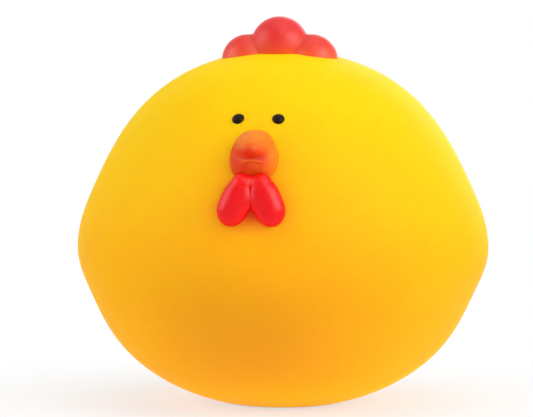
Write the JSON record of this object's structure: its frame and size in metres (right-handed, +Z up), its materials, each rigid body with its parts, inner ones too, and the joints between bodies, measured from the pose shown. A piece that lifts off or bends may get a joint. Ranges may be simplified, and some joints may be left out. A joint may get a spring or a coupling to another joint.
{
  "type": "squishy toy hen",
  "caption": "Round gel-filled squeeze toy shaped as a chubby hen, with a lobed comb, a bulb beak, hanging wattles and small domed eyes.",
  "frame": {"origin": "centre of the box of the whole toy, at the height of the flat patch that it rests on", "axes": "+Z up, the toy faces -Y, its own left is at +X"},
  "size_m": [0.0994, 0.095, 0.0935],
  "materials": {
    "skin_rubber": "satin",
    "gel": "clear",
    "plug_rubber": "matte",
    "red_rubber": "satin",
    "orange_rubber": "satin",
    "eye_gloss": "gloss"
  },
  "bodies": {
    "base": {"body_skin": "skin_rubber", "gel_fill": "gel", "filler_plug": "plug_rubber"},
    "crown": {"comb": "red_rubber"},
    "brow": {"left_eye": "eye_gloss", "right_eye": "eye_gloss"},
    "bill": {"beak": "orange_rubber", "left_wattle": "red_rubber", "right_wattle": "red_rubber"}
  },
  "joints": [
    {"name": "squeeze", "type": "slide", "parent": "base", "child": "crown", "axis": [0, 0, -1], "range_m": [0, 0.0256], "stiffness_N_per_m": 700, "deforming": ["body_skin", "gel_fill"]},
    {"name": "eyes_sink", "type": "slide", "parent": "base", "child": "brow", "axis": [0, 0, -1], "range_m": [0, 0.0211]},
    {"name": "beak_sink", "type": "slide", "parent": "base", "child": "bill", "axis": [0, 0, -1], "range_m": [0, 0.0187]}
  ],
  "couplings": [
    {"joint": "eyes_sink", "follows": "squeeze", "ratio": 0.8203},
    {"joint": "beak_sink", "follows": "squeeze", "ratio": 0.7266}
  ]
}
